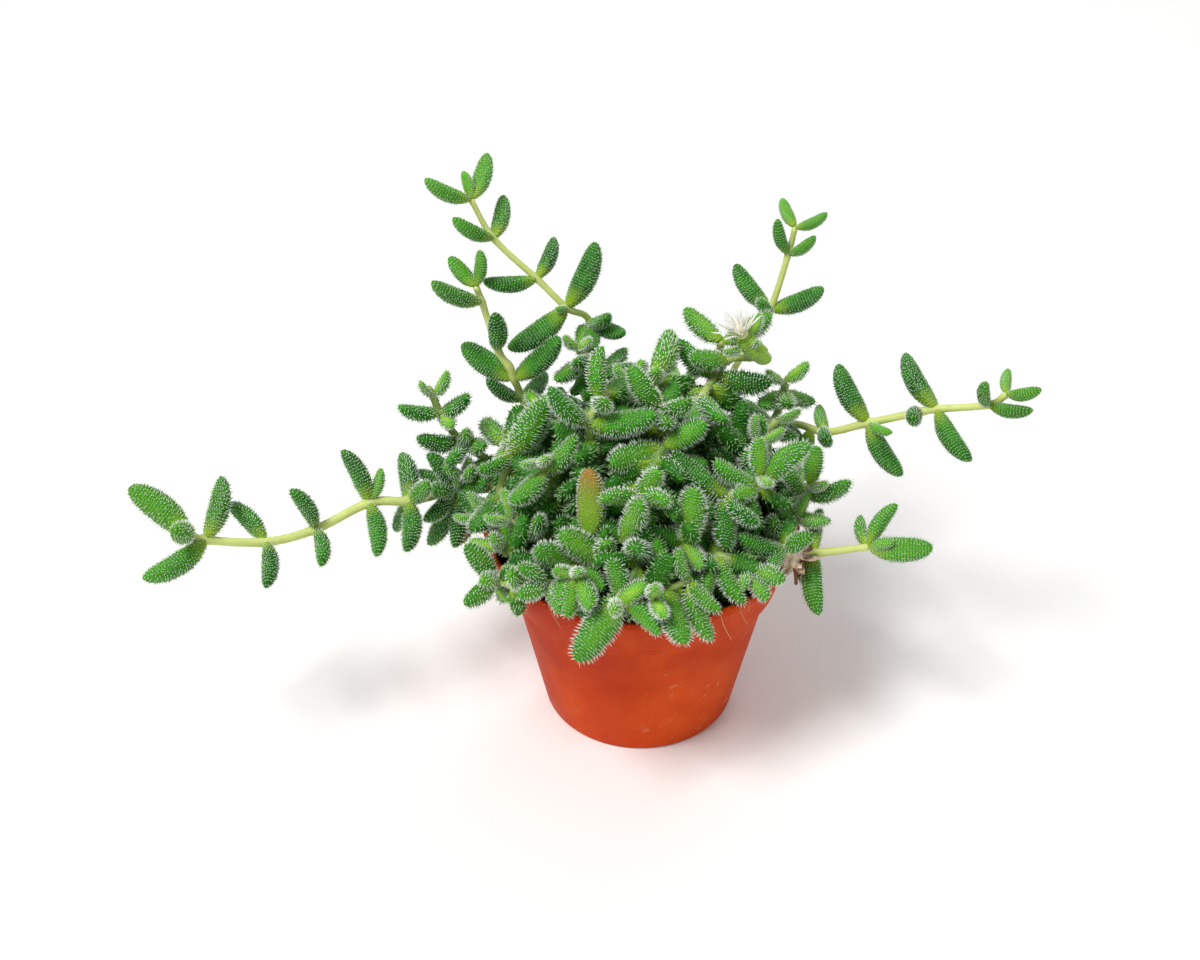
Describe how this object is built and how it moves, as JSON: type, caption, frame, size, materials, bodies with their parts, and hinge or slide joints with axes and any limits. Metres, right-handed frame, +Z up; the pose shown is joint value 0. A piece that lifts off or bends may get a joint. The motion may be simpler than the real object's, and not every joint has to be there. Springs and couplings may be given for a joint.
{
  "type": "potted pickle plant",
  "caption": "Bristly pickle-leaved succulent with trailing and upright leafy stems and a pale bloom, rooted in soil in a round tapered plastic nursery pot.",
  "frame": {"origin": "centre of the pot's flat underside", "axes": "+Z up along the pot's axis, +X along the long trailing stems' spread, +Y away from the front that the picture shows"},
  "size_m": [0.2441, 0.1196, 0.1513],
  "materials": {
    "pot_plastic": "satin",
    "potting_soil": "matte",
    "foliage": "satin",
    "bloom": "matte"
  },
  "bodies": {
    "root": {"back_crown_shoot": "foliage", "behind_flower_shoot": "foliage", "bloom": "bloom", "crown_shoot": "foliage", "flower_shoot": "foliage", "front_inner_shoot": "foliage", "front_left_shoot": "foliage", "front_low_right_shoot": "foliage", "front_right_shoot": "foliage", "front_shoot": "foliage", "left_face_shoot": "foliage", "left_low_face_shoot": "foliage", "left_trailer": "foliage", "left_tuft_shoot": "foliage", "low_left_shoot": "foliage", "lower_right_shoot": "foliage", "middle_shoot": "foliage", "orange_tip_shoot": "foliage", "pale_rib_shoot": "foliage", "pot": "pot_plastic", "right_crown_shoot": "foliage", "right_middle_shoot": "foliage", "right_side_shoot": "foliage", "right_trailer": "foliage", "soil": "potting_soil", "straight_leaf_shoot": "foliage", "tall_left_shoot": "foliage", "tall_right_shoot": "foliage", "top_shoot": "foliage", "tuft_shoot_1": "foliage", "tuft_shoot_10": "foliage", "tuft_shoot_11": "foliage", "tuft_shoot_12": "foliage", "tuft_shoot_13": "foliage", "tuft_shoot_14": "foliage", "tuft_shoot_15": "foliage", "tuft_shoot_16": "foliage", "tuft_shoot_2": "foliage", "tuft_shoot_3": "foliage", "tuft_shoot_4": "foliage", "tuft_shoot_5": "foliage", "tuft_shoot_6": "foliage", "tuft_shoot_7": "foliage", "tuft_shoot_8": "foliage", "tuft_shoot_9": "foliage", "upper_left_shoot": "foliage", "white_bud_shoot": "foliage"}
  },
  "joints": []
}
